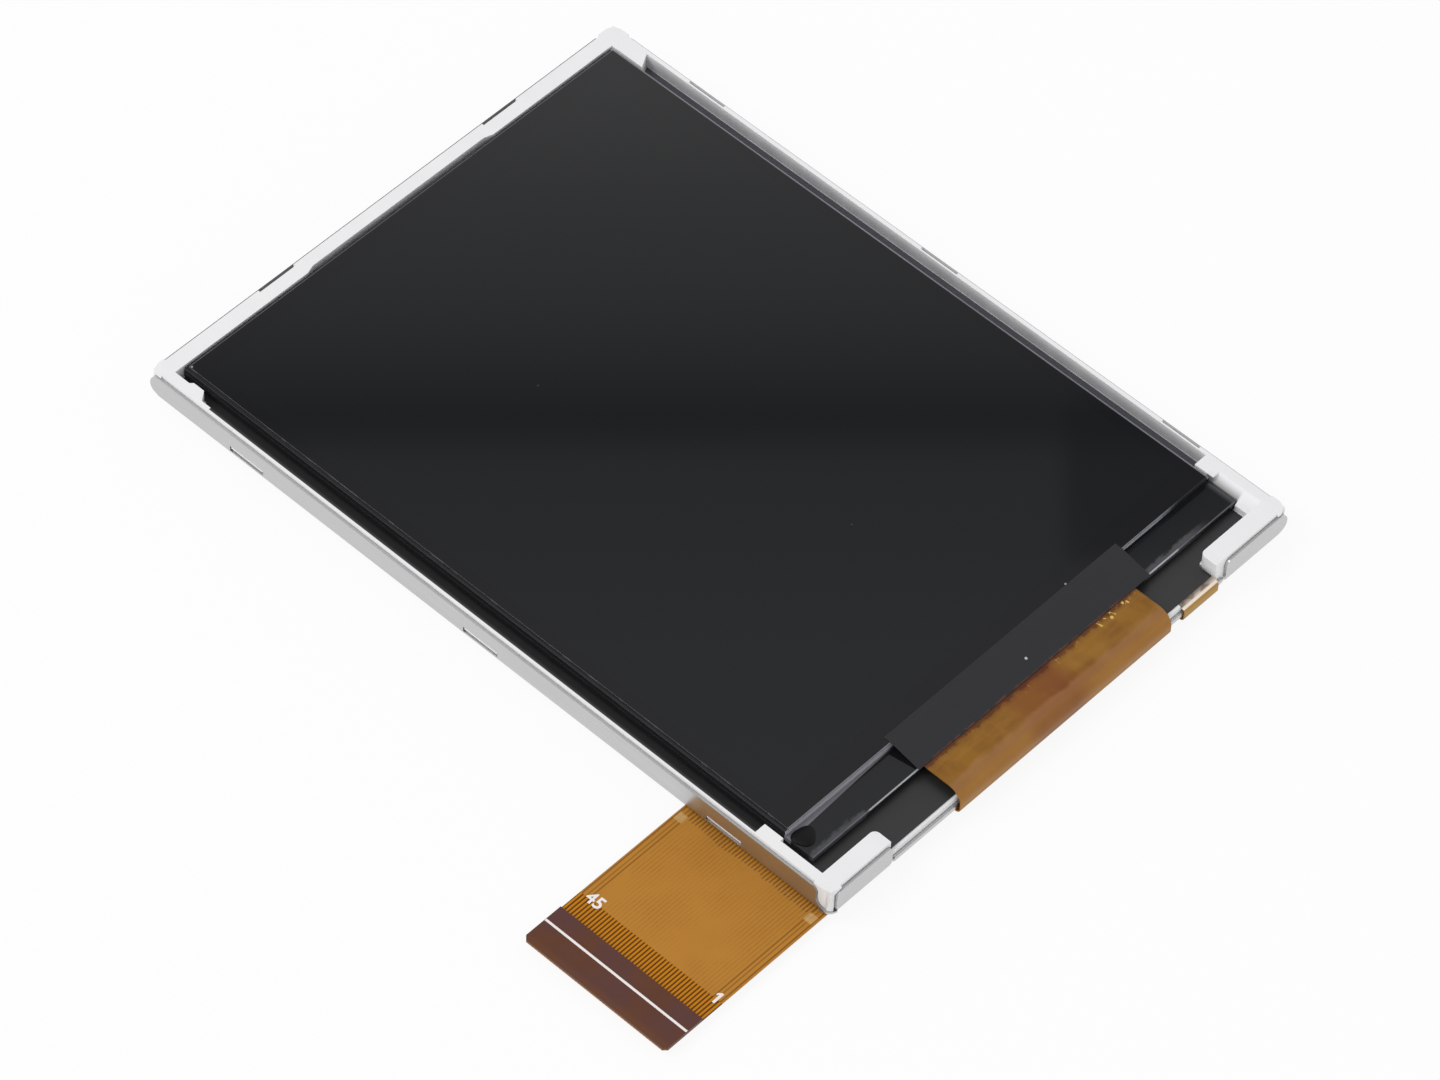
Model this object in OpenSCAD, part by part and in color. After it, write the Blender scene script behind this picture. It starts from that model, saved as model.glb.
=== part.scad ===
// Small colour TFT display module: a glass panel on a side-lit backlight, held by a white
// moulded frame in a folded stainless tray, with a flexible circuit that wraps round one
// short end to the back and leaves sideways as a plug-in tail.
//
// Millimetres. The module lies on its back with the picture side up (+Z). Y is the long
// axis, with the circuit bonded at the -Y end and the tail leaving over the -X side.
// The origin is the middle of the tray's back face.

/* [Tray] */
// Width of the tray over its side walls
tray_w = 50; // [48:0.5:54]
// Length of the tray over its end walls
tray_l = 69.2; // [67.2:0.5:74.2]
// Thickness of the stainless sheet
sheet_t = 0.2; // [0.15:0.01:0.25]
// Outer radius of the bend at the foot of each wall
bend_r = 0.4; // [0.3:0.05:0.45]
// Height of the low end wall that the circuits pass over
low_wall_h = 0.75; // [0.6:0.05:0.8]
// Radius of the module's outer corners
corner_r = 1; // [0.8:0.1:1.3]
// Rounding of the walls' free corners
flap_corner_r = 0.5; // [0.2:0.1:0.7]
// Rounding of the feet of the walls' ends
foot_corner_r = 0.15; // [0.05:0.05:0.3]
// Top radius of the two long walls' ends that turn round a corner
round_end_r = 1.1; // [0.8:0.05:1.15]
// Foot radius of the same two ends
round_end_foot_r = 0.75; // [0.5:0.05:0.8]
// Distance from those two ends to the module's corners
round_end_setback = 0.1; // [0.05:0.05:0.4]
// Concave flare at the foot of the -X wall's -Y end
flare_r = 1; // [0.6:0.1:1.1]
// Distance from the -Y end to the end of the -X wall
left_wall_setback = 1.4; // [1.3:0.1:2]
// Distance from the -Y end to the end of the +X wall
near_wall_setback = 1.15; // [1:0.05:2]
// Distance from the +Y end to the end of the +X wall
right_wall_setback = 1.6; // [1:0.1:2.4]
// Distance from the -X side to the end of the +Y wall
left_end_setback = 0.95; // [0.8:0.05:1.3]
// Distance from the +X side to the end of the +Y wall
right_end_setback = 1.65; // [1.2:0.05:2.6]
// Distance from the -X side to the outer end of the -X corner wall
corner_wall_setback = 0.7; // [0.5:0.05:1]
// Open slit between a corner wall and the low end wall
wall_slit = 0.2; // [0.1:0.05:0.4]

/* [Clips] */
// Length of the windows in the tray walls
clip_l = 3.5; // [3:0.5:6]
// Height of a clip window
clip_h = 0.5; // [0.35:0.05:0.6]
// Height of a window's lower edge above the back face
clip_z = 0.45; // [0.45:0.05:0.6]
// Play between a window and the lug in it
clip_play = 0.1; // [0.05:0.05:0.2]
// How far a lug's face stays behind the wall's outer face
lug_inset = 0.05; // [0:0.01:0.1]
// Depth of the hollow above each lug on the outside of the frame
lug_relief = 0.2; // [0.05:0.05:0.25]
// Distance of the outer side clips from the middle
side_clip_y = 24.25; // [18:0.25:26]
// Distance of the +Y end clips from the middle
end_clip_x = 12; // [8:0.5:16]

/* [Moulded frame] */
// Gap between the frame and the tray walls
frame_gap = 0.05; // [0.02:0.01:0.1]
// How far the rim stands above the tray walls
rim_proud = 0.3; // [0.15:0.05:0.5]
// How far the top of the panel stands above the rim
panel_proud = 0.08; // [0:0.01:0.2]
// Thickness of the rim along both sides
side_rim_t = 0.35; // [0.3:0.05:0.6]
// Thickness of the rim along the +Y end
end_rim_t = 1.38; // [1:0.02:1.6]
// Depth of the shallow hollow in the middle of the +Y rim
end_hollow_d = 0.26; // [0.1:0.02:0.4]
// Half length of that hollow
end_hollow_l = 9.2; // [6:0.2:11]
// Width of the side ledges that the panel rests over
side_ledge_w = 1.95; // [1.6:0.05:2.2]
// Width of the +Y ledge
end_ledge_w = 1.15; // [1:0.05:1.3]
// Width of the bar at the -Y end
bar_w = 3.05; // [2.6:0.05:3.2]
// Inner reach of the corner pads from the rim on the -X side
left_pad_t = 0.8; // [0.5:0.05:1.1]
// Inner reach of the corner pads from the rim on the +X side
right_pad_t = 1.25; // [0.8:0.05:1.25]
// Distance that the faces of the frame's corner posts stand in from the tray's outside
post_inset = 0.08; // [0.02:0.02:0.14]
// How far the nose of the far -X pad stands out from the rest of that pad
pad_nose_t = 0.25; // [0.1:0.05:0.4]
// Length of that nose
pad_nose_l = 1.05; // [0.8:0.05:2]
// Chamfer that ends the far -X pad
pad_end_l = 0.6; // [0.2:0.1:1]
// Distance from the -Y end to the near corner pads
near_pad_y = 5.9; // [4.5:0.1:6.5]
// Length of the near corner pads
near_pad_l = 1.8; // [1:0.1:3]
// Distance from the +Y end to the end of the far -X pad
left_far_pad_l = 4.45; // [3.8:0.05:6]
// Distance from the +Y end to the end of the far +X pad
right_far_pad_l = 4.85; // [4:0.05:6]
// Slant of that pad's end
pad_slant_l = 0.7; // [0.2:0.1:1.2]
// Reach of the step between the near -X pad and its arm
arm_step_t = 0.5; // [0.2:0.05:0.7]
// Reach of the top edge of the sloped web between the near +X pad and its arm
web_top_t = 0.5; // [0.2:0.05:0.7]
// Depth of that slope from the rim down to the tab
web_drop = 0.8; // [0.6:0.05:1]
// Inner reach of the tab at the root of the +X arm
tab_t = 1.6; // [1.3:0.05:2]
// Length of the tab along the rim
tab_l = 1.55; // [0.8:0.05:1.55]
// Width of the two arms that hook round the -Y corners
arm_w = 1.6; // [1.2:0.05:1.9]
// Distance from the side of the tray to the end of the -X arm
left_arm_l = 6.55; // [5:0.05:8]
// Distance from the side of the tray to the end of the +X arm
right_arm_l = 8.05; // [6:0.05:9]
// How far the +X corner wall stops short of the end of its arm
right_flap_short = 1; // [0:0.1:1.5]
// Rounding of the arms' ends
arm_r = 0.5; // [0.1:0.05:0.6]

/* [Panel] */
// Gap between the glass and the side rims
panel_side_gap = 1.35; // [1.1:0.05:1.4]
// Gap between the glass and the +Y rim
panel_end_gap = 0.12; // [0.05:0.01:0.4]
// Distance from the -Y end of the tray to the end of the lower glass
tft_setback = 3.5; // [3:0.1:4]
// Length of lower glass left bare for the driver chip and the circuit
tft_ledge = 2.7; // [2.4:0.1:3.2]
// Thickness of each sheet of glass
glass_t = 0.5; // [0.4:0.05:0.7]
// Thickness of the front polarizer
front_pol_t = 0.2; // [0.1:0.05:0.3]
// Thickness of the rear polarizer
rear_pol_t = 0.15; // [0.1:0.05:0.3]
// Margin of bare glass round the polarizers
pol_margin = 0.25; // [0.1:0.05:0.5]

/* [Driver chip and cover tape] */
// Length of the driver chip
chip_l = 18; // [14:0.5:20]
// Width of the driver chip
chip_w = 0.9; // [0.7:0.05:1.1]
// Height of the driver chip
chip_t = 0.28; // [0.2:0.02:0.35]
// Gap between the upper glass and the driver chip
chip_gap = 0.35; // [0.2:0.05:0.5]
// Reach of the cover tape towards -X from the middle
cover_left = 12; // [11.6:0.1:13]
// Reach of the cover tape towards +X from the middle
cover_right = 13.2; // [11.6:0.1:13.4]
// Thickness of the cover tape
cover_t = 0.06; // [0.03:0.01:0.1]
// How far the cover tape laps over the polarizer
cover_lap = 0.65; // [0.1:0.05:1.2]
// Length of the cover tape lying on the circuit
cover_tail = 0.15; // [0.05:0.05:1]

/* [Backlight] */
// Thickness of the light guide
guide_t = 0.7; // [0.6:0.05:1]
// Thickness of the reflector
reflector_t = 0.1; // [0.05:0.01:0.15]
// Thickness of the diffuser
diffuser_t = 0.1; // [0.05:0.01:0.15]
// Thickness of each prism sheet
prism_t = 0.1; // [0.06:0.01:0.15]
// Gap round the light guide and the sheets
film_gap = 0.1; // [0.05:0.05:0.2]
// Thickness of the black rim tape
rim_tape_t = 0.08; // [0.05:0.01:0.1]
// Gap between the rim tape and the rim
rim_tape_gap = 0.1; // [0.05:0.01:0.2]
// How far the rim tape laps over the sheets
rim_tape_lap = 0.45; // [0.3:0.05:0.6]
// Bare edge of the frame's -Y bar in front of the rim tape
bar_edge = 0.22; // [0.1:0.02:0.4]
// Number of side-view lamps
led_count = 4; // [3:1:6]
// Distance between lamps
led_pitch = 9.6; // [5:0.2:9.8]
// Length of a lamp
led_l = 3.8; // [3:0.1:4]
// Depth of a lamp
led_d = 1; // [0.8:0.05:1.2]
// Height of a lamp
led_h = 0.6; // [0.4:0.05:0.6]
// Room for the lamps between the -Y bar and the light guide
led_room = 2.3; // [2:0.1:2.6]
// Width of a rib between two lamps
rib_w = 2; // [1:0.1:3]

/* [Flexible circuits] */
// Thickness of the flexible circuits
flex_t = 0.1; // [0.08:0.01:0.12]
// Width of the circuit where it is bonded to the glass
bond_w = 23; // [20:0.5:23]
// Length of circuit bonded on the glass
bond_l = 0.8; // [0.6:0.1:1]
// Gap between the folded circuit and the tray's end
fold_gap = 0.2; // [0.1:0.05:0.3]
// Inner radius of the upper fold
fold_r = 1.2; // [1.1:0.05:1.25]
// Inner radius of the lower fold
foot_r = 0.45; // [0.3:0.05:0.5]
// Thickness of the adhesive under the circuit
adhesive_t = 0.1; // [0.05:0.01:0.15]
// Reach of the back part towards +X from the middle
back_right = 18.2; // [17.4:0.1:20]
// Reach of the back part towards -X from the middle
back_left = 14; // [12:0.5:18]
// Distance from the -Y end to the far edge of the back part
back_y = 21; // [19:0.5:26]
// Distance from the -Y end to the near edge of the back part
back_setback = 1.3; // [1:0.1:2]
// Corner radius of the back part
back_r = 1; // [0.5:0.1:1.5]
// Number of contacts on the tail
pin_count = 45; // [30:1:45]
// Distance between contacts
pin_pitch = 0.3; // [0.3:0.05:0.3]
// Width of a contact
pin_w = 0.2; // [0.15:0.01:0.22]
// Length of the contacts
pin_l = 3.2; // [2.5:0.1:3.5]
// Thickness of the plated contacts
pin_t = 0.03; // [0.02:0.01:0.05]
// Length of the tail beyond the side of the tray
tail_l = 16.4; // [10:0.2:24]
// Distance from the -Y end to the near edge of the tail
tail_setback = 0.45; // [0.3:0.05:1]
// Length of the stiffener at the tail's tip
stiff_l = 3.8; // [3.6:0.1:5]
// Thickness of the stiffener
stiff_t = 0.2; // [0.1:0.05:0.25]
// Chamfer of the tail's two tip corners
tip_chamfer = 0.3; // [0.1:0.05:0.5]
// Left edge of the backlight circuit's tail, from the middle
lamp_tail_x = 13.2; // [12.4:0.1:14]
// Width of the backlight circuit's tail
lamp_tail_w = 3.8; // [3:0.1:4]
// Gap between the backlight circuit's tail and the tray's end
lamp_tail_gap = 0.05; // [0.03:0.01:0.15]
// Inner radius of the folds in the backlight circuit's tail
lamp_fold_r = 0.35; // [0.3:0.01:0.4]
// Length of the backlight circuit's tail under the module
lamp_tail_back = 4.4; // [3.5:0.1:6]

/* [Parts on the circuit] */
// Length of a chip capacitor
cap_l = 1; // [0.8:0.1:1.2]
// Width and height of a chip capacitor
cap_w = 0.5; // [0.4:0.05:0.6]
// Distance between capacitors in a row
cap_pitch = 2.2; // [1.8:0.1:2.4]
// Number of capacitors in a row
cap_count = 9; // [4:1:9]
// Distance between the two rows of capacitors
cap_rows = 3; // [2:0.1:4]
// Distance from the far edge of the back part to the first row
cap_edge = 2.2; // [1.6:0.1:3]
// Length of a chip resistor
res_l = 1; // [0.8:0.1:1.2]
// Width of a chip resistor
res_w = 0.5; // [0.4:0.05:0.6]
// Height of a chip resistor
res_h = 0.35; // [0.25:0.05:0.45]
// Distance between resistors
res_pitch = 1.4; // [1.2:0.1:1.6]
// Number of resistors
res_count = 4; // [2:1:4]
// Length of the diode's body
diode_l = 1.3; // [1:0.1:1.7]
// Width of the diode's body
diode_w = 0.85; // [0.7:0.05:1.2]
// Height of the diode's body
diode_h = 0.6; // [0.5:0.05:0.7]
// Radius of a solder joint
solder_r = 0.55; // [0.3:0.05:0.6]
// Height of a solder joint
solder_h = 0.25; // [0.1:0.05:0.35]
// Distance between the solder joints
solder_pitch = 1.9; // [1.4:0.1:2]

/* [Hidden] */
$fn = 48;
// Overshoot of a cut through a face
eps = 0.5;
// How far the flat runs of bent sheet and film lap into their bends' pieces
bend_lap = 0.15;

// Plan: half sizes and the lines that neighbours share
half_w = tray_w / 2;
half_l = tray_l / 2;
wall_in_x = half_w - sheet_t;
wall_in_y = half_l - sheet_t;
frame_x = wall_in_x - frame_gap;
frame_y = wall_in_y - frame_gap;
cavity_x = frame_x - side_rim_t;
cavity_y = frame_y - end_rim_t;
window_x = cavity_x - side_ledge_w;
window_far_y = cavity_y - end_ledge_w;
window_near_y = bar_w - frame_y;
film_x = window_x - film_gap;
film_far_y = window_far_y - film_gap;
guide_near_y = window_near_y + led_room;
// The sheets stop short of the guide's lit edge, where the lamp circuit lies on it
lamp_strip_lap = 0.9;
lamp_strip_inset = 2;
film_near_y = guide_near_y + lamp_strip_lap + 2 * film_gap;
glass_x = cavity_x - panel_side_gap;
glass_far_y = cavity_y - panel_end_gap;
tft_near_y = tft_setback - half_l;
cf_near_y = tft_near_y + tft_ledge;
arm_y = frame_y - arm_w;

// Heights: the stack from the tray's floor up
reflector_z = sheet_t;
guide_z = reflector_z + reflector_t;
diffuser_z = guide_z + guide_t;
lower_prism_z = diffuser_z + diffuser_t;
upper_prism_z = lower_prism_z + prism_t;
ledge_z = upper_prism_z + prism_t;
rear_pol_z = ledge_z + rim_tape_t;
tft_z = rear_pol_z + rear_pol_t;
cf_z = tft_z + glass_t;
front_pol_z = cf_z + glass_t;
panel_top_z = front_pol_z + front_pol_t;
rim_z = panel_top_z - panel_proud;
wall_h = rim_z - rim_proud;
flex_top_z = -adhesive_t;
flex_under_z = flex_top_z - flex_t;

// The frame's foot steps in to clear the bend inside the tray
foot_inset = bend_r - sheet_t;
foot_z = bend_r + frame_gap;
// The corners of the frame stop this far from the ends of the walls
end_play = 0.1;

// Ends of the tray's walls along each side, seen from outside: 0 is +X, 1 is +Y, 2 is -X, 3 is -Y
near_end_y = near_wall_setback - half_l;
left_flap_end = left_arm_l - half_w;
right_flap_end = half_w - right_arm_l + right_flap_short;
round_end_y = half_l - round_end_setback;
round_end_x = half_w - round_end_setback;
// Side of the square at each corner that the frame's posts keep to
post_l = max(left_end_setback, right_end_setback) + end_play;

// Tail of the main circuit
tail_w = (pin_count + 1) * pin_pitch;
tail_near_y = tail_setback - half_l;
tail_mid_y = tail_near_y + tail_w / 2;
tail_tip_x = -half_w - tail_l;

// Folds of the circuits round the -Y end: centre lines of the bends
fold_face_y = -half_l - fold_gap;
lamp_face_y = -half_l - lamp_tail_gap;

// Lamp circuit strip
strip_near_y = window_near_y + film_gap;
strip_far_y = guide_near_y + lamp_strip_lap;
strip_x = window_x - lamp_strip_inset;

back_far_y = back_y - half_l;
back_near_y = back_setback - half_l;

// ---------- helpers ----------

// A block between two corners
module block(low, high) {
    translate(low)
        cube(high - low);
}

// A rectangle between two corners
module plate(low, high) {
    translate(low)
        square(high - low);
}

// A rectangle between two corners with round corners
module round_plate(low, high, r) {
    plate([low.x + r, low.y], [high.x - r, high.y]);
    plate([low.x, low.y + r], [high.x, high.y - r]);
    for (x = [low.x + r, high.x - r], y = [low.y + r, high.y - r])
        translate([x, y])
            circle(r);
}

// The waste outside a round corner at the origin, corner pointing to +X +Y
module corner_waste(r) {
    difference() {
        translate([-r, -r])
            square(r + eps);
        translate([-r, -r])
            circle(r);
    }
}

// Stands a profile drawn in Y and Z up and runs it from one X to the next
module run_x(from_x, to_x) {
    translate([from_x, 0, 0])
        rotate([90, 0, 90])
            linear_extrude(to_x - from_x)
                children();
}

// ---------- metal tray ----------

// Section of the bend at a wall's foot, with its outer face at x = 0 and a lap on both sides
module bend_section() {
    difference() {
        plate([-bend_r - bend_lap, 0], [0, bend_r + bend_lap]);
        mirror([0, 1])
            corner_waste(bend_r);
        difference() {
            plate([-bend_r - bend_lap - eps, sheet_t], [-sheet_t, bend_r + bend_lap + eps]);
            translate([-sheet_t, sheet_t])
                mirror([0, 1])
                    corner_waste(bend_r - sheet_t);
        }
    }
}

// Outline of a wall above its bend. Each end has its own radius at the top and at the foot
module wall_outline(low, high, h, top_r, foot_r) {
    difference() {
        plate([low, bend_r], [high, h]);
        translate([low, h])
            mirror([1, 0])
                corner_waste(top_r[0]);
        translate([high, h])
            corner_waste(top_r[1]);
        translate([low, bend_r])
            rotate(180)
                corner_waste(foot_r[0]);
        translate([high, bend_r])
            mirror([0, 1])
                corner_waste(foot_r[1]);
    }
}

// Concave flare that widens a wall's foot beyond its high end
module flare_outline(high, r) {
    difference() {
        plate([high - r, bend_r], [high + r, bend_r + r]);
        translate([high + r, bend_r + r])
            circle(r);
    }
}

// Stands an outline drawn in Y and Z up behind the plane x = 0
module stand(t) {
    translate([-t, 0, 0])
        rotate([90, 0, 90])
            linear_extrude(t)
                children();
}

// One wall along +Y, its outer face at x = 0, with a bend that joins it to the floor
module wall(low, high, h, top_r, foot_r, flare = 0) {
    stand(sheet_t) {
        wall_outline(low, high, h, top_r, foot_r);
        if (flare > 0)
            flare_outline(high - foot_r[1], flare + foot_r[1]);
    }
    translate([0, high - foot_r[1] + flare / 2, 0])
        rotate([90, 0, 0])
            linear_extrude(high - low - foot_r[0] - foot_r[1] + flare / 2)
                bend_section();
}

// Window for one clip, centred on y, in a wall whose outer face is at x = 0
module clip_window(y) {
    block([-sheet_t - eps, y - clip_l / 2, clip_z], [eps, y + clip_l / 2, clip_z + clip_h]);
}

// Places a wall drawn along +Y at x = 0 on one side of the tray: 0 is +X, 1 is +Y, 2 is -X, 3 is -Y
module on_side(side) {
    reach = side % 2 == 0 ? half_w : half_l;
    rotate([0, 0, 90 * side])
        translate([reach, 0, 0])
            children();
}

// Radii at the ends of a plain wall
plain_top = [flap_corner_r, flap_corner_r];
plain_foot = [foot_corner_r, foot_corner_r];
low_top_r = (low_wall_h - bend_r) / 2;

// The floor keeps its full size only at the corner below the -X wall's flare
module tray_floor() {
    linear_extrude(sheet_t)
        difference() {
            plate([-half_w, -half_l], [half_w - bend_r, half_l - bend_r]);
            translate([-half_w, -half_l])
                rotate(180)
                    corner_waste(corner_r);
            plate([-half_w - eps, left_wall_setback + foot_corner_r - flare_r / 2 - half_l],
                  [bend_r - half_w, half_l]);
            plate([corner_wall_setback + foot_corner_r - half_w, -half_l - eps], [half_w, bend_r - half_l]);
        }
}

module metal_tray() {
    color("silver")
        union() {
            tray_floor();
            on_side(0)
                difference() {
                    wall(near_end_y, half_l - right_wall_setback, wall_h, plain_top, plain_foot);
                    for (y = [-side_clip_y, 0, side_clip_y])
                        clip_window(y);
                }
            on_side(2)
                difference() {
                    wall(-round_end_y, half_l - left_wall_setback, wall_h,
                         [round_end_r, flap_corner_r], [round_end_foot_r, foot_corner_r], flare_r);
                    for (y = [-side_clip_y, 0, side_clip_y])
                        clip_window(y);
                }
            on_side(1)
                difference() {
                    wall(right_end_setback - half_w, half_w - left_end_setback, wall_h, plain_top, plain_foot);
                    for (x = [-end_clip_x, end_clip_x])
                        clip_window(x);
                }
            on_side(3) {
                wall(corner_wall_setback - half_w, left_flap_end, wall_h, plain_top, plain_foot);
                wall(left_flap_end + wall_slit, right_flap_end - wall_slit, low_wall_h,
                     [low_top_r, low_top_r], plain_foot);
                wall(right_flap_end, round_end_x, wall_h,
                     [flap_corner_r, round_end_r], [foot_corner_r, round_end_foot_r]);
            }
        }
}

// ---------- moulded frame ----------

// The space inside the rim, made smaller all round by the gap g
module cavity(g) {
    far_y = cavity_y - g;
    slope_x = end_hollow_l + 3 * end_hollow_d;
    difference() {
        polygon([[g - cavity_x, -half_l - eps], [g - cavity_x, far_y], [-slope_x, far_y],
                 [-end_hollow_l, far_y + end_hollow_d], [end_hollow_l, far_y + end_hollow_d],
                 [slope_x, far_y], [cavity_x - g, far_y], [cavity_x - g, -half_l - eps]]);
        for (side = [-1, 1]) {
            pad_t = side < 0 ? left_pad_t : right_pad_t;
            arm_l = side < 0 ? left_arm_l : right_arm_l;
            mirror([side < 0 ? 1 : 0, 0]) {
                // Near corner pad
                plate([cavity_x - pad_t - g, near_pad_y - half_l - g],
                      [cavity_x + eps, near_pad_y + near_pad_l - half_l + g]);
                // Arm, with a round end
                difference() {
                    plate([half_w - arm_l - g, -half_l - 2 * eps], [cavity_x + eps, g - arm_y]);
                    translate([half_w - arm_l - g, g - arm_y])
                        mirror([1, 0])
                            corner_waste(arm_r);
                }
            }
        }
        // Far -X pad: a nose between a shallow hollow and a chamfered end
        translate([-cavity_x, half_l - left_far_pad_l])
            polygon([[-eps, -g - pad_end_l], [g, -g - pad_end_l], [left_pad_t + g, -g],
                     [left_pad_t + g, pad_nose_l + g], [left_pad_t - pad_nose_t + g, pad_nose_l + pad_nose_t + g],
                     [left_pad_t - pad_nose_t + g, left_far_pad_l], [-eps, left_far_pad_l]]);
        // Far +X pad, whose end slants
        translate([cavity_x, half_l - right_far_pad_l])
            polygon([[-right_pad_t - g, -g], [0, pad_slant_l - g], [eps, pad_slant_l - g],
                     [eps, right_far_pad_l], [-right_pad_t - g, right_far_pad_l]]);
        // Step between the near -X pad and its arm
        plate([-cavity_x - eps, -half_l - eps], [arm_step_t + g - cavity_x, near_pad_y + eps - half_l]);
        // Web between the near +X pad and its arm, and the tab at the arm's root
        plate([cavity_x - right_pad_t - g, -half_l - eps], [cavity_x + eps, near_pad_y + eps - half_l]);
        plate([cavity_x - tab_t - g, -half_l - eps], [cavity_x + eps, tab_l + g - arm_y]);
    }
}

// The waste above the slope of the web and the tab
module web_waste() {
    foot_x = cavity_x - tab_t - eps;
    top_x = cavity_x - web_top_t;
    slope = web_drop / (tab_t - web_top_t);
    translate([0, near_pad_y - half_l, 0])
        rotate([90, 0, 0])
            linear_extrude(arm_y - half_l + near_pad_y)
                polygon([[foot_x, rim_z - web_drop - eps * slope], [top_x, rim_z],
                         [top_x, rim_z + eps], [foot_x, rim_z + eps]]);
}

// Outline of the frame inside the walls
module frame_outline(inset) {
    plate([inset - frame_x, inset - frame_y], [frame_x - inset, frame_y - inset]);
}

// The room that one wall needs in the frame's corner posts, open above its full height
module wall_room(low, high, h, top_r, flare = 0) {
    stand(sheet_t + frame_gap)
        difference() {
            plate([low - end_play, -eps], [high + end_play, rim_z + eps]);
            for (end = [0, 1])
                translate([end == 0 ? low - end_play : high + end_play, 0])
                    mirror([1 - end, 0]) {
                        translate([0, h + end_play])
                            corner_waste(top_r[end] + end_play);
                        plate([-top_r[end], h + end_play + eps / 2], [eps, rim_z + 2 * eps]);
                    }
        }
    // Its bend stands further in
    stand(bend_r + frame_gap)
        plate([low - end_play, -eps], [high + flare / 2 + end_play, foot_z]);
    if (flare > 0)
        stand(sheet_t + frame_gap)
            difference() {
                plate([high - eps, -eps], [high + flare + end_play, bend_r + flare]);
                translate([high + flare + end_play, bend_r + flare + end_play])
                    circle(flare);
            }
}

// Corner posts of the frame, which fill the notches between the walls
module frame_corners() {
    difference() {
        translate([0, 0, sheet_t])
            linear_extrude(rim_z - sheet_t)
                intersection() {
                    round_plate([post_inset - half_w, post_inset - half_l],
                                [half_w - post_inset, half_l - post_inset], corner_r);
                    for (x = [-half_w, half_w - post_l], y = [-half_l, half_l - post_l])
                        translate([x, y])
                            square(post_l);
                }
        on_side(0)
            wall_room(near_end_y, half_l - right_wall_setback, wall_h, plain_top);
        on_side(1)
            wall_room(right_end_setback - half_w, half_w - left_end_setback, wall_h, plain_top);
        on_side(2)
            wall_room(-round_end_y, half_l - left_wall_setback, wall_h, [round_end_r, flap_corner_r], flare_r);
        on_side(3) {
            wall_room(corner_wall_setback - half_w, left_flap_end, wall_h, plain_top);
            wall_room(right_flap_end, round_end_x, wall_h, [flap_corner_r, round_end_r]);
        }
    }
}

// A snap lug that stands out of the frame towards +X: flat on top, ramped below
module lug(y) {
    reach = frame_gap + sheet_t - lug_inset;
    low = clip_z + clip_play;
    high = clip_z + clip_h - clip_play;
    long = clip_l - 2 * clip_play;
    root = sheet_t;
    translate([-sheet_t - frame_gap, y + long / 2, 0])
        rotate([90, 0, 0])
            linear_extrude(long)
                polygon([[-root, low], [0, low], [reach, (low + high) / 2], [reach, high], [-root, high]]);
}

// The hollow above a lug, which lets the rim spring
module lug_hollow(y) {
    out = -sheet_t - frame_gap;
    block([out - lug_relief, y - clip_l / 2 - clip_play, clip_z + clip_h],
          [eps, y + clip_l / 2 + clip_play, rim_z + eps]);
}

module at_clips() {
    for (side = [0, 2], y = [-side_clip_y, 0, side_clip_y])
        on_side(side)
            translate([0, y, 0])
                children();
    for (x = [-end_clip_x, end_clip_x])
        on_side(1)
            translate([0, x, 0])
                children();
}

module mold_frame() {
    color("whitesmoke")
        union() {
            difference() {
                union() {
                    translate([0, 0, sheet_t])
                        linear_extrude(foot_z - sheet_t)
                            frame_outline(foot_inset);
                    translate([0, 0, foot_z])
                        linear_extrude(rim_z - foot_z)
                            frame_outline(0);
                    frame_corners();
                }
                // Window for the light guide and the sheets
                block([-window_x, window_near_y, 0], [window_x, window_far_y, ledge_z + eps]);
                // Room for the panel above the ledge
                translate([0, 0, ledge_z])
                    linear_extrude(rim_z)
                        cavity(0);
                web_waste();
                // Channel for the backlight circuit's tail
                block([lamp_tail_x - film_gap, -half_l - eps, diffuser_z - frame_gap],
                      [lamp_tail_x + lamp_tail_w + film_gap, window_near_y + eps, ledge_z + eps]);
                at_clips()
                    lug_hollow(0);
            }
            at_clips()
                lug(0);
            // Ribs between the lamps
            for (i = [1 : led_count - 1])
                translate([(i - led_count / 2) * led_pitch, 0, 0])
                    block([-rib_w / 2, window_near_y - eps, guide_z],
                          [rib_w / 2, guide_near_y - film_gap, diffuser_z]);
        }
}

// ---------- backlight ----------

module reflector_sheet() {
    color("white")
        block([-film_x, strip_near_y, reflector_z], [film_x, film_far_y, guide_z]);
}

module light_guide() {
    color([0.85, 0.93, 0.95])
        block([-film_x, guide_near_y, guide_z], [film_x, film_far_y, diffuser_z]);
}

// One sheet over the light guide
module film(z, t) {
    block([-film_x, film_near_y, z], [film_x, film_far_y, z + t]);
}

module diffuser_sheet() {
    color("ivory")
        film(diffuser_z, diffuser_t);
}

module lower_prism_sheet() {
    color("lightcyan")
        film(lower_prism_z, prism_t);
}

module upper_prism_sheet() {
    color("azure")
        film(upper_prism_z, prism_t);
}

module rim_tape() {
    color([0.07, 0.07, 0.08])
        translate([0, 0, ledge_z])
            linear_extrude(rim_tape_t)
                difference() {
                    intersection() {
                        cavity(rim_tape_gap);
                        plate([-half_w, bar_edge - frame_y], [half_w, half_l]);
                    }
                    plate([rim_tape_lap - film_x, film_near_y + 2 * rim_tape_lap],
                          [film_x - rim_tape_lap, film_far_y - rim_tape_lap]);
                }
}

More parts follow.
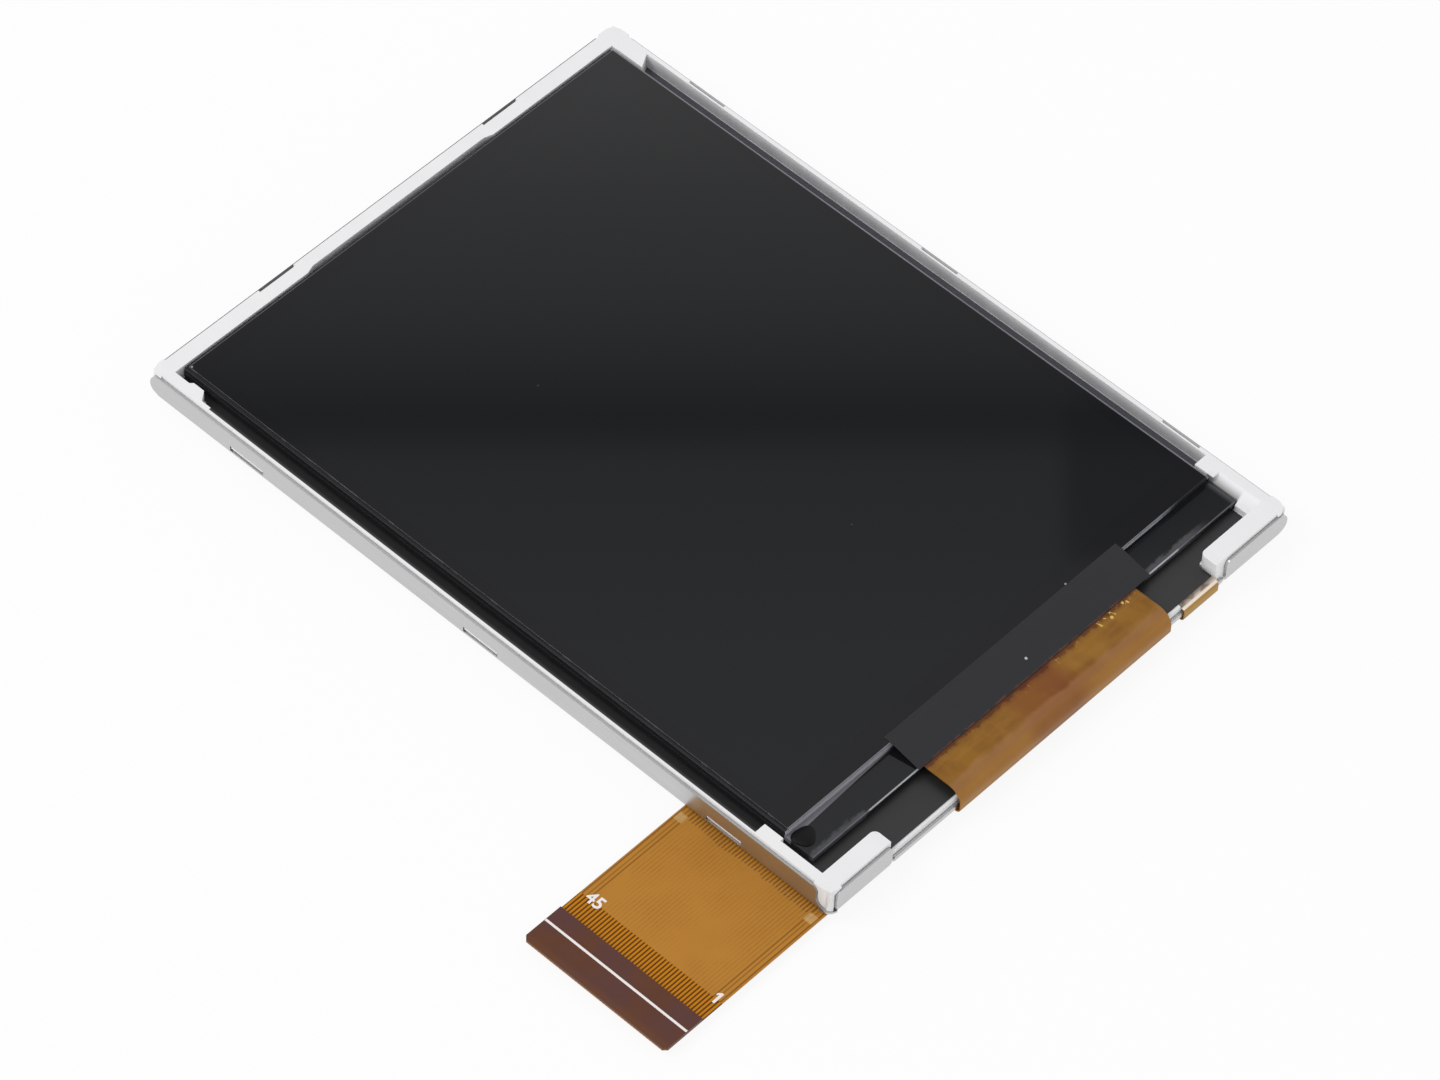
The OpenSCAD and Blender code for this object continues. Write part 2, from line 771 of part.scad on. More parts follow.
// Side-view lamps, each with a pocket for the phosphor in the face towards the guide
module backlight_leds() {
    pocket = 0.3;
    color("lightyellow")
        for (i = [0 : led_count - 1])
            translate([(i - (led_count - 1) / 2) * led_pitch, guide_near_y - film_gap / 2 - led_d, diffuser_z - led_h])
                difference() {
                    block([-led_l / 2, 0, 0], [led_l / 2, led_d, led_h]);
                    block([pocket - led_l / 2, led_d - pocket, pocket / 2],
                          [led_l / 2 - pocket, led_d + eps, led_h - pocket / 2]);
                }
}

// Outline of the space inside a circuit's fold, or of the fold itself when it is grown by t
module fold_outline(face_y, top_z, back_z, top_r, low_r, end_y, t) {
    difference() {
        plate([face_y - t, back_z - t], [end_y, top_z + t]);
        translate([face_y - t, top_z + t])
            mirror([1, 0])
                corner_waste(top_r + t);
        translate([face_y - t, back_z - t])
            rotate(180)
                corner_waste(low_r + t);
    }
}

// Section of a circuit folded round the -Y end, which laps into its flat runs.
// top_z is the underside of the top strip and back_z the upper face of the back strip.
module fold_section(face_y, top_z, back_z, top_r, low_r) {
    end_y = face_y + max(top_r, low_r) + bend_lap;
    difference() {
        fold_outline(face_y, top_z, back_z, top_r, low_r, end_y, flex_t);
        fold_outline(face_y, top_z, back_z, top_r, low_r, end_y + eps, 0);
    }
}

// Lamp strip over the lamps, with a tail that leaves over the low wall and folds under the module
module backlight_circuit() {
    right = lamp_tail_x + lamp_tail_w;
    under_y = lamp_face_y + lamp_fold_r;
    color([0.8, 0.52, 0.16])
        union() {
            translate([0, 0, diffuser_z])
                linear_extrude(flex_t) {
                    plate([-strip_x, strip_near_y], [strip_x, strip_far_y]);
                    plate([lamp_tail_x, under_y], [right, strip_far_y]);
                }
            run_x(lamp_tail_x, right)
                fold_section(lamp_face_y, diffuser_z, flex_under_z, lamp_fold_r, lamp_fold_r);
            translate([0, 0, flex_under_z - flex_t])
                linear_extrude(flex_t)
                    plate([lamp_tail_x, under_y], [right, lamp_tail_back - half_l]);
        }
}

// ---------- panel ----------

// One rectangular layer of the panel, from its -Y edge to the far edge
module layer(near_y, z, t, inset) {
    block([inset - glass_x, near_y + inset, z], [glass_x - inset, glass_far_y - inset, z + t]);
}

module rear_polarizer() {
    color([0.25, 0.26, 0.3])
        layer(cf_near_y, rear_pol_z, rear_pol_t, pol_margin);
}

module tft_glass() {
    color([0.2, 0.24, 0.25])
        layer(tft_near_y, tft_z, glass_t, 0);
}

module color_filter_glass() {
    color([0.16, 0.19, 0.2])
        layer(cf_near_y, cf_z, glass_t, 0);
}

// The front polarizer reaches the glass edge at the -Y end
module front_polarizer() {
    color([0.13, 0.14, 0.15])
        block([pol_margin - glass_x, cf_near_y, front_pol_z],
              [glass_x - pol_margin, glass_far_y - pol_margin, panel_top_z]);
}

module driver_chip() {
    near = cf_near_y - chip_gap - chip_w;
    color([0.2, 0.2, 0.22])
        block([-chip_l / 2, near, cf_z], [chip_l / 2, near + chip_w, cf_z + chip_t]);
}

// Black tape that slopes from the panel over the chip down to the circuit
module chip_cover_tape() {
    on_flex = tft_near_y - cover_tail;
    flex_z = cf_z + flex_t;
    run = cf_near_y - tft_near_y;
    color([0.17, 0.17, 0.2])
        run_x(-cover_left, cover_right)
            polygon([[cf_near_y + cover_lap, panel_top_z], [cf_near_y, panel_top_z],
                     [cf_near_y - run, flex_z], [on_flex, flex_z],
                     [on_flex, flex_z + cover_t], [cf_near_y - run, flex_z + cover_t],
                     [cf_near_y, panel_top_z + cover_t], [cf_near_y + cover_lap, panel_top_z + cover_t]]);
}

// ---------- main circuit ----------

// Outline of the part behind the module and of the tail
module back_outline() {
    plate([-bond_w / 2, fold_face_y + foot_r], [bond_w / 2, back_near_y + back_r]);
    round_plate([-back_left, back_near_y], [back_right, back_far_y], back_r);
    difference() {
        plate([tail_tip_x, tail_near_y], [back_r - back_left, tail_near_y + tail_w]);
        for (side = [-1, 1])
            translate([tail_tip_x, tail_mid_y + side * tail_w / 2])
                rotate(45)
                    square(tip_chamfer * sqrt(2), center = true);
    }
}

module main_circuit() {
    color([0.69, 0.49, 0.21])
        union() {
            block([-bond_w / 2, fold_face_y + fold_r, cf_z],
                  [bond_w / 2, tft_near_y + bond_l, cf_z + flex_t]);
            run_x(-bond_w / 2, bond_w / 2)
                fold_section(fold_face_y, cf_z, flex_top_z, fold_r, foot_r);
            translate([0, 0, flex_under_z])
                linear_extrude(flex_t)
                    back_outline();
        }
}

// Double-sided tape between the circuit and the tray's back
module circuit_adhesive() {
    margin = 1;
    color("lightgray")
        translate([0, 0, flex_top_z])
            linear_extrude(adhesive_t)
                plate([margin - back_left, back_near_y + margin], [back_right - margin, back_far_y - margin]);
}

module tail_stiffener() {
    color([0.36, 0.26, 0.22])
        translate([0, 0, flex_top_z])
            linear_extrude(stiff_t)
                intersection() {
                    back_outline();
                    plate([tail_tip_x, tail_near_y], [tail_tip_x + stiff_l, tail_near_y + tail_w]);
                }
}

// Plated contacts on the underside of the tip
module tail_contacts() {
    inset = tip_chamfer;
    color("gold")
        for (i = [0 : pin_count - 1])
            translate([tail_tip_x + inset, tail_mid_y + (i - (pin_count - 1) / 2) * pin_pitch, flex_under_z - pin_t])
                block([0, -pin_w / 2, 0], [pin_l, pin_w / 2, pin_t]);
}

// ---------- parts on the circuit ----------

// A chip with two wrapped end terminals, hanging from z = 0, along X
module chip_part(l, w, h) {
    end = l / 4;
    block([-l / 2 + end / 2, -w / 2 + terminal_t, -h + terminal_t], [l / 2 - end / 2, w / 2 - terminal_t, 0]);
    for (side = [-1, 1])
        translate([side * (l - end) / 2, 0, 0])
            block([-end / 2, -w / 2, -h], [end / 2, w / 2, 0]);
}

cap_row_x = (back_right - back_left) / 2;
cap_row_y = back_far_y - cap_edge;
// Thickness of the terminals wrapped round a chip's ends
terminal_t = 0.03;
// The resistors and the diode stand this many capacitors from the middle
part_step = 2 * cap_pitch;

module chip_capacitors() {
    color([0.72, 0.58, 0.42])
        for (row = [0, 1], i = [0 : cap_count - 1])
            translate([cap_row_x + (i - (cap_count - 1) / 2) * cap_pitch, cap_row_y - row * cap_rows, flex_under_z])
                chip_part(cap_l, cap_w, cap_w);
}

res_x = cap_row_x - part_step;
res_y = cap_row_y - 2 * cap_rows;

module chip_resistors() {
    color([0.12, 0.12, 0.13])
        for (i = [0 : res_count - 1])
            translate([res_x, res_y - i * res_pitch, flex_under_z])
                chip_part(res_l, res_w, res_h);
}

// Diode with a tapered moulded body and two flat feet
module protection_diode() {
    foot_t = 0.12;
    foot_l = 0.25;
    draft = 0.08;
    color([0.14, 0.14, 0.15])
        translate([cap_row_x + part_step, res_y - res_pitch, flex_under_z]) {
            rotate([90, 0, 0])
                translate([0, 0, -diode_w / 2])
                    linear_extrude(diode_w)
                        polygon([[-diode_l / 2 + draft, 0], [diode_l / 2 - draft, 0], [diode_l / 2, -diode_h / 2],
                                 [diode_l / 2 - draft, -diode_h], [draft - diode_l / 2, -diode_h],
                                 [-diode_l / 2, -diode_h / 2]]);
            block([-diode_l / 2 - foot_l, -diode_w / 4, -foot_t], [diode_l / 2 + foot_l, diode_w / 4, 0]);
        }
}

// Two cones of solder that join the backlight circuit's tail to the main circuit
module solder_joints() {
    mid = lamp_tail_x + lamp_tail_w / 2;
    color("silver")
        for (side = [-1, 1])
            translate([mid + side * solder_pitch / 2, lamp_tail_back - half_l - 2 * solder_r, flex_under_z - flex_t])
                mirror([0, 0, 1])
                    cylinder(h = solder_h, r1 = solder_r, r2 = solder_r / 2);
}

metal_tray();
mold_frame();
reflector_sheet();
light_guide();
diffuser_sheet();
lower_prism_sheet();
upper_prism_sheet();
rim_tape();
rear_polarizer();
tft_glass();
color_filter_glass();
front_polarizer();
driver_chip();
chip_cover_tape();
backlight_leds();
backlight_circuit();
main_circuit();
circuit_adhesive();
tail_stiffener();
tail_contacts();
chip_capacitors();
chip_resistors();
protection_diode();
solder_joints();
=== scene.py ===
"""Looks of a small colour TFT display module: a glass panel in a white moulded frame and a folded
stainless tray, with a flexible circuit that folds round one end and leaves as a plug-in tail.
Metres, picture side up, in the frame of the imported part."""

import math

import bmesh
import bpy
from mathutils import Euler, Matrix, Vector


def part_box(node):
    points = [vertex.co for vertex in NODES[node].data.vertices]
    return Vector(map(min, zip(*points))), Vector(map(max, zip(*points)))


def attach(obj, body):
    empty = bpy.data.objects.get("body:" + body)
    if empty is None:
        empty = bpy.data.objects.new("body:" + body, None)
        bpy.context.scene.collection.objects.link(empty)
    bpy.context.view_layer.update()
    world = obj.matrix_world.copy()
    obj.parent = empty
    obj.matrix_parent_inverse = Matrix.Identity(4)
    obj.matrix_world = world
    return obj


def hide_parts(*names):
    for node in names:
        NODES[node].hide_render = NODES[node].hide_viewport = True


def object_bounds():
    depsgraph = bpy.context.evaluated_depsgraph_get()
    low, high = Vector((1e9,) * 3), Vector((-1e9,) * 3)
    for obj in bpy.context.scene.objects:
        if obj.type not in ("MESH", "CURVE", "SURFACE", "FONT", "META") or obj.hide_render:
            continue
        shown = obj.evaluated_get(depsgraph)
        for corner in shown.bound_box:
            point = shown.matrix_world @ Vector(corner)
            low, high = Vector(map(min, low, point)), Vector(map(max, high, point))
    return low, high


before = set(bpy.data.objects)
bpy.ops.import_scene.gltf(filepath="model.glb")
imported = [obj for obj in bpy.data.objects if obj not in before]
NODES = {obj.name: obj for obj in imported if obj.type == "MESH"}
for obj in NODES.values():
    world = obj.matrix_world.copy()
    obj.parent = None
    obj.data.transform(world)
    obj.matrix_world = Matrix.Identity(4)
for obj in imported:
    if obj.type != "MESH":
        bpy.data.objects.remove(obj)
solid_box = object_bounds()

MM = 0.001
WELD = 0.0005 * MM  # points of a CAD mesh nearer than this are one
SMOOTH = 35  # faces that meet under this many degrees are shaded as one


# ---------- shader sums ----------

class Value:
    """A shader socket that Python's operators can calculate with."""

    def __init__(self, finish, socket):
        self.finish = finish
        self.socket = socket

    def math(self, operation, *others, first=None, clamp=False):
        terms = list(others)
        terms.insert(0 if first is None else first, self)
        return self.finish.node("ShaderNodeMath", {"operation": operation, "use_clamp": clamp},
                                dict(enumerate(terms)))

    def __add__(self, other):
        return self.math("ADD", other)

    __radd__ = __add__

    def __sub__(self, other):
        return self.math("SUBTRACT", other)

    def __rsub__(self, other):
        return self.math("SUBTRACT", other, first=1)

    def __mul__(self, other):
        return self.math("MULTIPLY", other)

    __rmul__ = __mul__

    def __truediv__(self, other):
        return self.math("DIVIDE", other)

    def __abs__(self):
        return self.math("ABSOLUTE")

    def clamped(self):
        return self.math("ADD", 0.0, clamp=True)

    def above(self, edge, soft):
        """0 below the edge, 1 above it, with a smooth change that is soft wide."""
        return self.finish.node("ShaderNodeMapRange", {"interpolation_type": "SMOOTHSTEP"},
                                {0: self, 1: edge - soft / 2, 2: edge + soft / 2})

    def below(self, edge, soft):
        return 1 - self.above(edge, soft)

    def between(self, low, high, soft):
        return self.above(low, soft) * self.below(high, soft)

    def lines(self, pitch, width, soft, start=0.0):
        """1 on lines of that width and pitch, the first line centred on start."""
        beat = (self - (start - pitch / 2)).math("PINGPONG", pitch / 2)
        return beat.above((pitch - width) / 2, soft)

    def fade(self, low, high):
        """The value brought from 0 and 1 to low and high."""
        return self * (high - low) + low


class Finish:
    """One material, or the world, built from nodes."""

    def __init__(self, name, tree=None):
        if tree is None:
            self.material = bpy.data.materials.new(name)
            self.material.use_nodes = True
            tree = self.material.node_tree
        self.tree = tree
        self.tree.nodes.clear()

    def node(self, kind, settings=None, inputs=None, output=0):
        made = self.tree.nodes.new(kind)
        for key, setting in (settings or {}).items():
            if key == "stops":
                ramp = made.color_ramp
                while len(ramp.elements) < len(setting):
                    ramp.elements.new(1.0)
                for element, (position, colour) in zip(ramp.elements, setting):
                    element.position = position
                    element.color = colour
            else:
                setattr(made, key, setting)
        for key, value in (inputs or {}).items():
            if isinstance(value, Value):
                self.tree.links.new(value.socket, made.inputs[key])
            else:
                made.inputs[key].default_value = value
        if isinstance(output, tuple):
            return [Value(self, made.outputs[name]) for name in output]
        return Value(self, made.outputs[output]) if made.outputs else None

    def place(self):
        """Object coordinates in millimetres, whole and as x, y and z."""
        spot = self.node("ShaderNodeTexCoord", output="Object")
        spot = self.node("ShaderNodeVectorMath", {"operation": "SCALE"}, {0: spot, "Scale": 1 / MM})
        return [spot] + self.node("ShaderNodeSeparateXYZ", None, {0: spot}, ("X", "Y", "Z"))

    def noise(self, spot, scale, stretch=(1, 1, 1), shift=(0, 0, 0), detail=2.0, rough=0.5):
        """Soft noise about 0 to 1, scale waves to the millimetre before it is stretched."""
        laid = self.node("ShaderNodeMapping", None, {"Vector": spot, "Location": shift, "Scale": stretch})
        return self.node("ShaderNodeTexNoise", None,
                         {"Vector": laid, "Scale": scale, "Detail": detail, "Roughness": rough})

    def specks(self, spot, scale, size, shift=(0, 0, 0)):
        """1 on small scattered round specks."""
        laid = self.node("ShaderNodeMapping", None, {"Vector": spot, "Location": shift})
        cells = self.node("ShaderNodeTexVoronoi", {"feature": "F1"}, {"Vector": laid, "Scale": scale})
        return cells.below(size, size * 0.4)

    def dot(self, x, y, at, radius, ragged=0.0):
        """1 inside a round dot about one place."""
        far = (x - at[0]).math("POWER", 2.0) + (y - at[1]).math("POWER", 2.0)
        return (far.math("SQRT") + ragged).below(radius, radius * 0.5)

    def mix(self, factor, first, second):
        """One colour over another."""
        return self.node("ShaderNodeMix", {"data_type": "RGBA"}, {0: factor, 6: first, 7: second}, 2)

    def bump(self, height, distance, strength=1.0, over=None):
        inputs = {"Height": height, "Distance": distance, "Strength": strength}
        if over is not None:
            inputs["Normal"] = over
        return self.node("ShaderNodeBump", None, inputs)

    def surface(self, **sockets):
        """Ends the material in one Principled shader with these sockets, _ for a space."""
        shader = self.node("ShaderNodeBsdfPrincipled", None,
                           {name.replace("_", " "): value for name, value in sockets.items()})
        self.node("ShaderNodeOutputMaterial", None, {"Surface": shader})
        return self.material


def colour(code):
    """A written colour, such as b07d36, as linear red, green, blue and 1."""
    parts = [int(code[i:i + 2], 16) / 255 for i in (0, 2, 4)]
    return [c / 12.92 if c <= 0.04045 else ((c + 0.055) / 1.055) ** 2.4 for c in parts] + [1.0]


def grey(level):
    return [level, level, level, 1.0]


# ---------- places that the finishes and pieces share, in millimetres ----------

def box_mm(node):
    low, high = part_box(node)
    return low / MM, high / MM


def middle_x(node):
    low, high = box_mm(node)
    return (low.x + high.x) / 2


tray_low, tray_high = box_mm("metal_tray")
stiff_low, stiff_high = box_mm("tail_stiffener")
cover_low, cover_high = box_mm("chip_cover_tape")
pol_low, pol_high = box_mm("front_polarizer")
tft_low, tft_high = box_mm("tft_glass")
cf_low, cf_high = box_mm("color_filter_glass")
flex_low = box_mm("main_circuit")[0]
caps_low = box_mm("chip_capacitors")[0]

# The plug-in tail: its contacts' pitch, its upper face, its middle and half width, and how far in
# its traces lie bare
pin_pitch = 0.3
tail_top = stiff_low.z
tail_mid = (stiff_low.y + stiff_high.y) / 2
tail_half = (stiff_high.y - stiff_low.y) / 2
trace_end = stiff_high.x + 2.0

# The moulded frame's -X side, how deep the hollows above its snap lugs are, and how low they start
frame_side = tray_low.x + 0.25
hollow_deep = 0.2
hollow_low = 0.9

# Where the black lap on the -X rim starts and ends along Y, and the lamp circuit's tail along X
lap_start, lap_end = -26.9, 28.6
lamp_start, lamp_end = 12.0, 17.6

# Dust: on the cover tape, and on the panel above the tape
tape_dust = (0.8, -30.05)
panel_dust = (7.8, pol_low.y + 0.75)


# ---------- finishes ----------

def stainless():
    """Bright rolled steel sheet: long grain, slight waves, soft handling marks, rougher, greyer sheared
    edges, with painted shade darkening the far (+Y) wall's top edge.
    """
    f = Finish("stainless_sheet_finish")
    spot, x, y, z = f.place()
    grain = f.noise(spot, 3.0, stretch=(1, 0.03, 1), detail=2)
    haze = f.noise(spot, 0.2, detail=3)
    waves = f.noise(spot, 0.3, shift=(7, 3, 1), detail=1)
    scuffs = f.noise(spot, 1.6, stretch=(1, 0.3, 2), shift=(3, 9, 4), detail=4, rough=0.7).above(0.68, 0.1)
    base = f.mix(grain, colour("bfbfbf"), colour("c9c9c9"))
    base = f.mix(scuffs * 0.35, base, colour("e0e0e0"))
    # Sheared top edges are rougher everywhere; on the far (+Y) wall painted shade also darkens them
    sheared = z.above(tray_high.z - 0.05, 0.02)
    far = y.above(tray_high.y - 0.4, 0.1)
    base = f.mix(sheared * far * 0.9, base, colour("5c5c5f"))
    # Handled more, so duller, where the tail leaves
    handled = x.below(tray_low.x + 0.4, 0.1) * y.below(stiff_high.y + 0.85, 2.0) * 0.1
    normal = f.bump(waves, 0.00003, 0.6)
    return f.surface(Base_Color=base, Metallic=1.0, Normal=normal,
                     Roughness=haze.fade(0.22, 0.34) + scuffs * 0.1 + sheared * 0.45 + handled)


def white_plastic():
    """White moulded plastic: faint flow marks, a fine spark-eroded skin, painted shade darkening the web
    beside the glass.
    """
    f = Finish("white_frame_finish")
    spot, x, y, z = f.place()
    flow = f.noise(spot, 0.3, stretch=(1, 0.4, 1), detail=3)
    skin = f.noise(spot, 14.0, detail=2)
    base = f.mix(flow, colour("e9e9eb"), colour("f3f3f4"))
    # Painted shade on the web's slope beside the glass, darker towards the glass
    web_shade = (y.between(tft_low.y - 0.05, tft_low.y + 3.0, 0.2)
           * x.between(tft_high.x - 0.6, tft_high.x + 0.3, 1.1))
    base = f.mix(web_shade * z.below(2.62, 0.1), base, colour("2a2b2e"))
    # Black tape laps over the inner edge of the -X rim
    lip = x.between(tray_low.x + 0.4, tray_low.x + 0.8, 0.06) * y.between(lap_start, lap_end, 0.05)
    base = f.mix(lip, base, colour("202022"))
    # Shade down the inner face of the +X side
    wavy = f.noise(spot, 0.45, stretch=(1, 1, 0.2), shift=(5, 0, 0), detail=2)
    wall = x.between(tft_high.x + 1.2, tray_high.x - 0.4, 0.05) * z.below(2.3, 0.9)
    base = f.mix(wall * wavy.fade(0.1, 0.6), base, colour("8c8c90"))
    normal = f.bump(skin, 0.000004, 0.5)
    return f.surface(Base_Color=base, Roughness=flow.fade(0.38, 0.52), Normal=normal, IOR=1.5)


def polarizer():
    """Dark glossy polarizing film with a faint active area, slight smears, painted highlights along its edges
    and a pale cut end brightened by a painted highlight.
    """
    f = Finish("polarizer_film_finish")
    spot, x, y = f.place()[:3]
    smear = f.noise(spot, 0.12, stretch=(1, 0.5, 1), detail=3)
    active = (x.between(pol_low.x + 1.0, pol_high.x - 1.0, 0.15)
              * y.between(pol_low.y + 2.2, pol_high.y - 1.4, 0.15))
    dust = f.specks(spot, 0.35, 0.025) * f.noise(spot, 0.09, shift=(4, 4, 4)).above(0.58, 0.06)
    base = f.mix(active, [0.0048, 0.0054, 0.0066, 1], [0.0052, 0.0062, 0.0070, 1])
    base = f.mix(dust * 0.4, base, grey(0.12))
    ragged = f.noise(spot, 0.7, stretch=(1, 1, 0.1), detail=3)
    # Painted highlights along the film's +X, +Y and ragged -X edges
    rim = (x.above(pol_high.x - 0.06, 0.05) * 0.3 + y.above(pol_high.y - 0.07, 0.05)
           + x.below(pol_low.x + 0.05, 0.04) * ragged.above(0.56, 0.1) * 0.3).clamped()
    base = f.mix(rim * ragged.fade(0.3, 1.0), base, colour("6d7078"))
    base = f.mix(f.dot(x, y, (pol_low.x + 0.15, pol_high.y - 0.2), 0.14, ragged * 0.1), base, grey(0.4))
    base = f.mix(f.dot(x, y, panel_dust, 0.09), base, grey(0.3))
    # Painted highlight on the pale cut end, fading out towards +X
    end = y.below(pol_low.y + 0.06, 0.03)
    base = f.mix(end * x.below(18.6, 2.5), base, colour("7c7d84"))
    rough = (smear.fade(0.02, 0.035) + end * 0.35 + rim * 0.2).clamped()
    return f.surface(Base_Color=base, Roughness=rough, IOR=1.5)


def panel_glass():
    """Dark coated glass: ground grey end faces and ground edges brightened by painted highlights, a painted
    highlight on the bare +X edge, smears on the ledge.
    """
    f = Finish("panel_glass_finish")
    spot, x, y, z = f.place()
    ground = f.noise(spot, 5.0, stretch=(1, 1, 3), detail=4, rough=0.7)
    ragged = f.noise(spot, 0.5, stretch=(1, 0.2, 0.2), shift=(2, 5, 1), detail=3)
    lower = z.below(tft_high.z + 0.03, 0.02)
    left = x.below(cover_low.x, 0.1)
    right = x.above(cover_high.x, 0.1)
    # Painted highlight on the upper glass's ground end face, whole beside the -X corner, and a narrow line
    # that fades on the +X side
    end = y.below(cf_low.y + 0.05, 0.03) * z.above(tft_high.z + 0.03, 0.02)
    end = end * (1 - right * (x.above(18.0, 3.0) + z.below(2.3, 0.1)).clamped())
    base = f.mix(ground, [0.006, 0.007, 0.008, 1], [0.011, 0.012, 0.014, 1])
    base = f.mix(end * ground.fade(0.75, 1.0), base, colour("b2b3b9"))
    # Painted highlight along the upper glass's bare +X edge beside the polarizer
    bare = x.above(pol_high.x + 0.01, 0.03) * z.above(cf_high.z - 0.08, 0.02)
    base = f.mix(bare * ragged.fade(0.4, 1.0), base, colour("a2a4ad"))
    smudge = lower * x.above(pol_high.x, 0.7) * y.below(cf_low.y, 0.4)
    base = f.mix(smudge, base, colour("5a5b5f"))
    # Glue smeared on the ledge beside the upper glass, wider towards the -X side, with a painted highlight on
    # it that widens the end face's, and a thin film of it along the lower glass's end
    reach = (x + 11.5) * 0.045
    smear = lower * left * y.below(cf_low.y + 0.1, 0.05) * (y - reach).above(cf_low.y - 0.02, 0.06)
    base = f.mix(smear, base, colour("7b7c82"))
    clean_start, clean_end = -17.4, 12.8
    streak = f.noise(spot, 0.9, stretch=(1, 2, 1), shift=(0, 3, 0), detail=4, rough=0.65)
    film = lower * (y + streak).below(tft_low.y + 0.95, 0.35) * (1 - x.between(clean_start, clean_end, 0.4))
    film = film * x.below(19.0, 3.0)
    base = f.mix(film * 0.35, base, colour("6c6d73"))
    # The lower glass's ground edge, with a painted highlight beside both ends of the cover tape and a fainter
    # broken one elsewhere
    highlight_start, highlight_end = -17.2, 16.6
    edge = lower * y.below(tft_low.y + 0.09, 0.05) * z.above(tft_high.z - 0.1, 0.04)
    edge_highlight_span = (x.between(highlight_start, cover_low.x + 1.5, 0.4)
              + x.between(cover_high.x - 0.2, highlight_end, 0.4)).clamped()
    base = f.mix(edge * edge_highlight_span * ragged.fade(0.5, 1.0), base, colour("c4c5ca"))
    base = f.mix(edge * (1 - edge_highlight_span) * ragged.above(0.42, 0.15) * 0.6, base, colour("6c6d72"))
    sides = (abs(x).above(tft_high.x - 0.06, 0.03) + y.above(tft_high.y - 0.06, 0.03)).clamped()
    matt = (end * 0.4 + edge * 0.3 + smear * 0.3 + film * 0.2 + sides * 0.5 + 0.04).clamped()
    return f.surface(Base_Color=base, Roughness=matt, IOR=1.52, Normal=f.bump(ground * end, 0.00001, 0.6))


def black_film(name, code, low, high, tint):
    """Satin black tape with fine wrinkles and lint, and its own tints."""
    f = Finish(name)
    spot, x, y = f.place()[:3]
    wrinkle = f.noise(spot, 0.5, stretch=(0.6, 1, 1), detail=3, rough=0.6)
    weave = f.noise(spot, 9.0, detail=2)
    lint = f.specks(spot, 0.6, 0.04, shift=(1, 2, 3)) * f.noise(spot, 0.2, shift=(8, 1, 0)).above(0.58, 0.06)
    base = f.mix(weave, colour(code), [c * 1.25 for c in colour(code)[:3]] + [1])
    base = tint(f, spot, x, y, f.mix(lint * 0.6, base, grey(0.25)))
    normal = f.bump(wrinkle, 0.00006, 0.5)
    normal = f.bump(weave, 0.000004, 0.6, over=normal)
    return f.surface(Base_Color=base, Roughness=wrinkle.fade(low, high), Normal=normal)


def rim_tint(f, spot, x, y, base):
    """Paler where the gaps along the +X and +Y sides catch the light."""
    base = f.mix(x.above(tft_high.x - 0.2, 0.1) * y.above(tft_low.y + 2.6, 0.2), base, colour("4a4b50"))
    return f.mix(y.above(tft_high.y - 0.2, 0.1), base, colour("5a5b62"))


def cover_tint(f, spot, x, y, base):
    """Darker towards the panel, a ragged red-brown edge on the circuit, and one speck of dust."""
    base = f.mix(y.above(cover_high.y - 0.3, 0.5) * 0.6, base, colour("0e0f11"))
    ragged = f.noise(spot, 2.0, stretch=(1, 0.3, 1), detail=3, rough=0.7)
    torn = (y + ragged * 0.5).below(cover_low.y + 0.36, 0.2) * x.between(-11.0, 10.5, 0.8)
    base = f.mix(torn * f.noise(spot, 0.9, shift=(7, 0, 0)).above(0.5, 0.2) * 0.6, base, colour("6a3420"))
    return f.mix(f.dot(x, y, tape_dust, 0.11), base, grey(0.5))


def amber_tail(f, spot, x, y, copper, fine, traces):
    """The tail's colour: traces along X, broad rails at both sides, short dark ends at the module."""
    off_mid = abs(y - tail_mid)
    inner = off_mid.below(tail_half - 0.9, 0.1)
    faded = f.noise(spot, 0.22, shift=(3, 3, 0), detail=3).above(0.5, 0.3)
    tail = f.mix(traces * inner * faded * fine.fade(0.1, 0.6), copper, colour("8d5d18"))
    rail = (off_mid.between(tail_half - 0.24, tail_half - 0.12, 0.05) * 0.8
            + off_mid.between(tail_half - 0.6, tail_half - 0.5, 0.05) * 0.6
            + off_mid.between(tail_half - 0.9, tail_half - 0.8, 0.05) * 0.8).clamped()
    tail = f.mix(rail, tail, colour("7a4a0c"))
    strong = f.mix(traces, colour("c47d00"), colour("542b00"))
    tail = f.mix(x.between(stiff_low.x, trace_end, 0.1), tail, strong)
    stub_ends = f.noise(spot, 1.0, stretch=(0.1, 1, 1), shift=(0, 0, 4), detail=2)
    stubs = y.lines(pin_pitch, 0.12, 0.07, start=tail_mid) * inner
    stubs = stubs * (x + stub_ends).between(tray_low.x - 0.15, tray_low.x + 1.5, 0.2)
    tail = f.mix(stubs * fine.fade(0.4, 0.9), tail, colour("573002"))
    pads = (x.between(tray_low.x - 1.25, tray_low.x - 0.45, 0.08)
            * off_mid.between(tail_half - 0.95, tail_half - 0.2, 0.08))
    return f.mix(pads * fine.fade(0.3, 0.9), tail, colour("d0ad74"))


